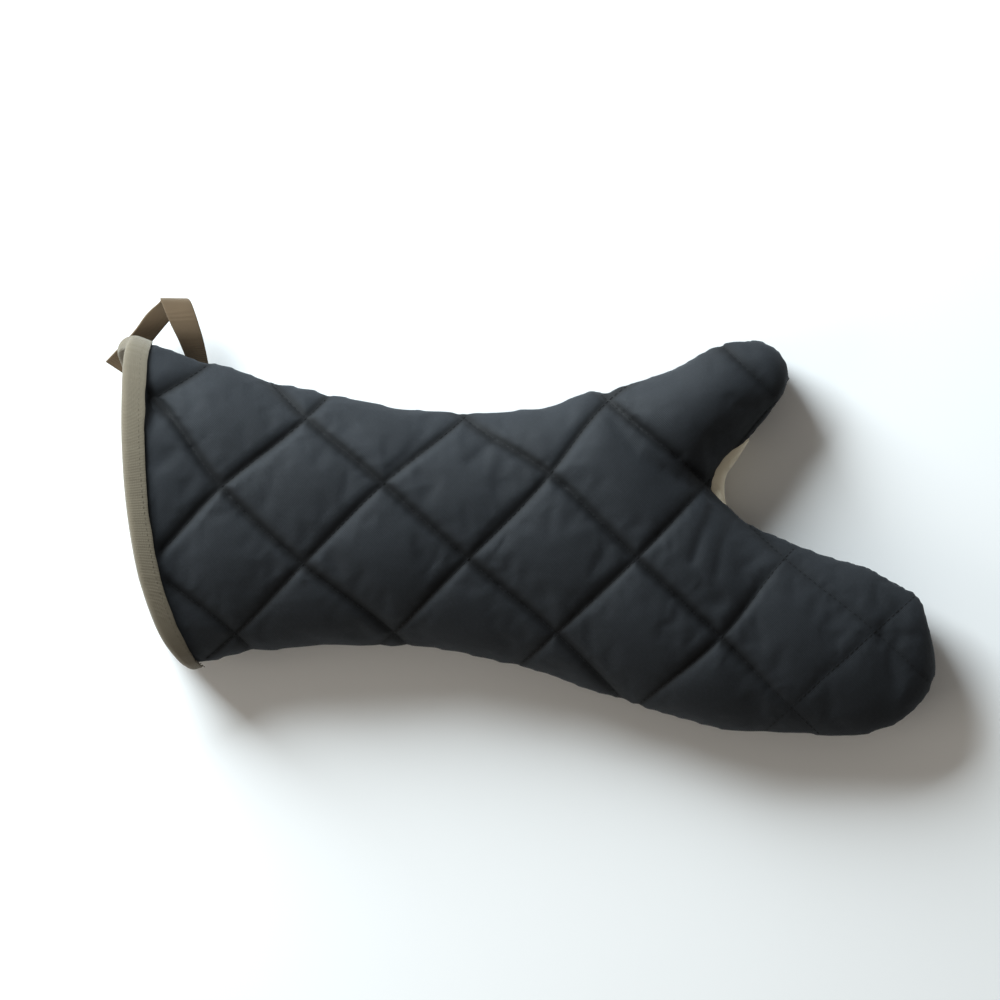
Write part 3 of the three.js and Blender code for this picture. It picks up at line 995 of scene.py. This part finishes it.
class MITT_OT_cuff_binding(bpy.types.Operator):
    """Fold the woven tape over the cuff's edge and stitch it down"""

    bl_idname = "mitt.cuff_binding"
    bl_label = "Cuff binding"

    def execute(self, context):
        material = woven_tape("binding tape", settings().binding_colour, 0.6 * MM, 0.04 * MM)
        piece, width, length = tape(
            "cuff_tape", *BINDING_GRID, self.place, BINDING_THICKNESS * MM, material, closed=True)
        dress(piece, "binding_tape", "cuff_binding")
        dress(self.stitches(), "binding_tape")
        return {"FINISHED"}

    def place(self, across, along):
        """Over the cuff's edge by across, and round the cuff by along."""
        angle = 2 * math.pi * along
        profile = curve_through(BINDING_PROFILE, across * (len(BINDING_PROFILE) - 1))
        ring = np.column_stack([np.cos(angle), np.sin(angle), np.zeros_like(angle)])
        wave = BINDING_WAVE[0] * uneven(ring, BINDING_WAVE[1], 1)
        ripple = BINDING_RIPPLE[0] * uneven(ring, BINDING_RIPPLE[1], 2)
        wider = mix(*BINDING_WIDTHS, smoothstep(*WIDTHS_CHANGE, np.cos(angle)))
        wider = wider * (1 - FAR_END_NARROWER * smoothstep(FAR_END_FROM, 1, -np.cos(angle)))
        degrees = (np.degrees(angle) + 180) % 360 - 180
        most, middle, half_width = CORNER_FLARE
        flare = most * np.exp(-(((degrees - middle) / half_width) ** 2))
        flare = flare * (1 - smoothstep(*FLARE_FADES, profile[:, 0]))
        inner_edge = BINDING_PROFILE[0, 0]
        shift = CUFF_TRIM + profile[:, 0] * wider + wave * (profile[:, 0] / inner_edge) ** 2 - flare
        grow = profile[:, 1] + np.where(profile[:, 1] > 0, ripple, -ripple)
        points = cuff_points(angle, shift, grow)
        floor = BINDING_THICKNESS / 2 + BINDING_CLEARANCE
        points[:, 2] = floor + rests(points[:, 2] - floor, BINDING_SOFTNESS)
        return in_frame(points)

    def stitches(self):
        angle = np.linspace(0, 2 * math.pi, BINDING_ROW_STEPS)
        shift, grow = BINDING_ROW
        over = grow + BINDING_THICKNESS / 2
        path = in_frame(cuff_points(angle, shift, over))
        above = in_frame(cuff_points(angle, shift, over + 1))
        path[:, 2] = np.maximum(path[:, 2], settings().thread / 2)
        thread = sewing_thread("binding thread", tuple(c * 0.8 for c in settings().binding_colour))
        places = sew(path, above - path, BINDING_PITCH * MM, BINDING_STITCH_LENGTH)
        return stitches_at("cuff_tape_stitches", places, thread)


class MITT_OT_hanging_loop(bpy.types.Operator):
    """Fold the tape of the hanging loop"""

    bl_idname = "mitt.hanging_loop"
    bl_label = "Hanging loop"

    def execute(self, context):
        material = woven_tape("loop tape", settings().loop_colour, 0.7 * MM, 0.05 * MM)
        piece, width, length = tape(
            "hanging_loop_tape", *LOOP_GRID, self.place, LOOP_THICKNESS * MM, material)
        dress(piece, "loop_tape", "hang_loop")
        return {"FINISHED"}

    def place(self, across, along):
        """From the outer to the inner edge by across, and from the cut tail on by along."""
        rows = curve_through(LOOP_STATIONS, along * (len(LOOP_STATIONS) - 1))
        outer, inner = rows[:, 0:3], rows[:, 3:6]
        return in_frame(mix(outer, inner, across[:, None]))


class MITT_OT_web_guard(bpy.types.Operator):
    """Lay the tape patch over the web between thumb and fingers"""

    bl_idname = "mitt.web_guard"
    bl_label = "Web guard"

    def execute(self, context):
        material = woven_tape("guard tape", settings().guard_colour, 0.6 * MM, 0.04 * MM)
        piece, width, length = tape(
            "web_guard_tape", *GUARD_GRID, self.place, GUARD_THICKNESS * MM, material)
        dress(piece, "guard_tape", "thumb_web_guard")
        return {"FINISHED"}

    def place(self, across, along):
        """Round the crotch by along, and from the back panel's edge over the web and down by across."""
        edge = curve_through(GUARD_EDGE, along * (len(GUARD_EDGE) - 1))
        height, drawn_in = curve_through(GUARD_ROWS, across * (len(GUARD_ROWS) - 1)).T
        angle = np.radians(edge[:, 0])
        radius = edge[:, 1] + GUARD_THICKNESS / 2 + drawn_in
        x = GUARD_CENTRE[0] + radius * np.cos(angle)
        y = GUARD_CENTRE[1] + radius * np.sin(angle)
        return in_frame(np.column_stack([x, y, height]))


class MITT_OT_stage(bpy.types.Operator):
    """Lay out the floor, the studio lights and the camera"""

    bl_idname = "mitt.stage"
    bl_label = "Floor, lights and camera"

    def execute(self, context):
        bm = bmesh.new()
        bmesh.ops.create_grid(bm, x_segments=1, y_segments=1, size=FLOOR_HALF)
        floor = new_piece("floor", bm, plain_floor())
        for light in LIGHTS:
            self.light(*light)
        world = bpy.data.worlds.new("studio")
        world.use_nodes = True
        background = world.node_tree.nodes["Background"]
        background.inputs["Color"].default_value = ROOM_COLOUR
        background.inputs["Strength"].default_value = ROOM_STRENGTH
        context.scene.world = world
        context.scene.view_settings.view_transform = "Standard"
        self.camera(context.scene)
        return {"FINISHED"}

    def light(self, name, place, size, power, colour):
        lamp = bpy.data.lights.new(name, "AREA")
        lamp.size = size
        lamp.energy = power
        lamp.color = colour
        holder = bpy.data.objects.new(name, lamp)
        holder.location = place
        holder.rotation_mode = "QUATERNION"
        holder.rotation_quaternion = (-Vector(place)).to_track_quat("-Z", "Y")
        bpy.context.scene.collection.objects.link(holder)

    def camera(self, scene):
        lens = bpy.data.cameras.new("camera")
        lens.sensor_width = SENSOR
        lens.lens = SENSOR * (CAMERA_HEIGHT - PICTURE_HEIGHT_OVER_FLOOR) / PICTURE_WIDTH
        lens.clip_end = 20
        holder = bpy.data.objects.new("camera", lens)
        holder.location = in_frame((*PICTURE_CENTRE, CAMERA_HEIGHT))
        scene.collection.objects.link(holder)
        scene.camera = holder


class MITT_PT_panel(bpy.types.Panel):
    """The mitt's settings and the steps that build it"""

    bl_label = "Oven mitt"
    bl_idname = "MITT_PT_panel"
    bl_space_type = "VIEW_3D"
    bl_region_type = "UI"
    bl_category = "Oven mitt"

    def draw(self, context):
        for name in MittSettings.__annotations__:
            self.layout.prop(context.scene.mitt, name)
        for step in STEPS:
            self.layout.operator(step.bl_idname)


STEPS = (
    MITT_OT_stage, MITT_OT_quilted_panels, MITT_OT_cuff_binding, MITT_OT_hanging_loop, MITT_OT_web_guard,
)
CLASSES = (MittSettings, *STEPS, MITT_PT_panel)


def register():
    for kind in CLASSES:
        bpy.utils.register_class(kind)
    bpy.types.Scene.mitt = PointerProperty(type=MittSettings)


def unregister():
    del bpy.types.Scene.mitt
    for kind in reversed(CLASSES):
        bpy.utils.unregister_class(kind)


def main():
    register()
    bpy.ops.mitt.stage()
    bpy.ops.mitt.quilted_panels()
    bpy.ops.mitt.cuff_binding()
    bpy.ops.mitt.hanging_loop()
    bpy.ops.mitt.web_guard()


if __name__ == "__main__":
    main()
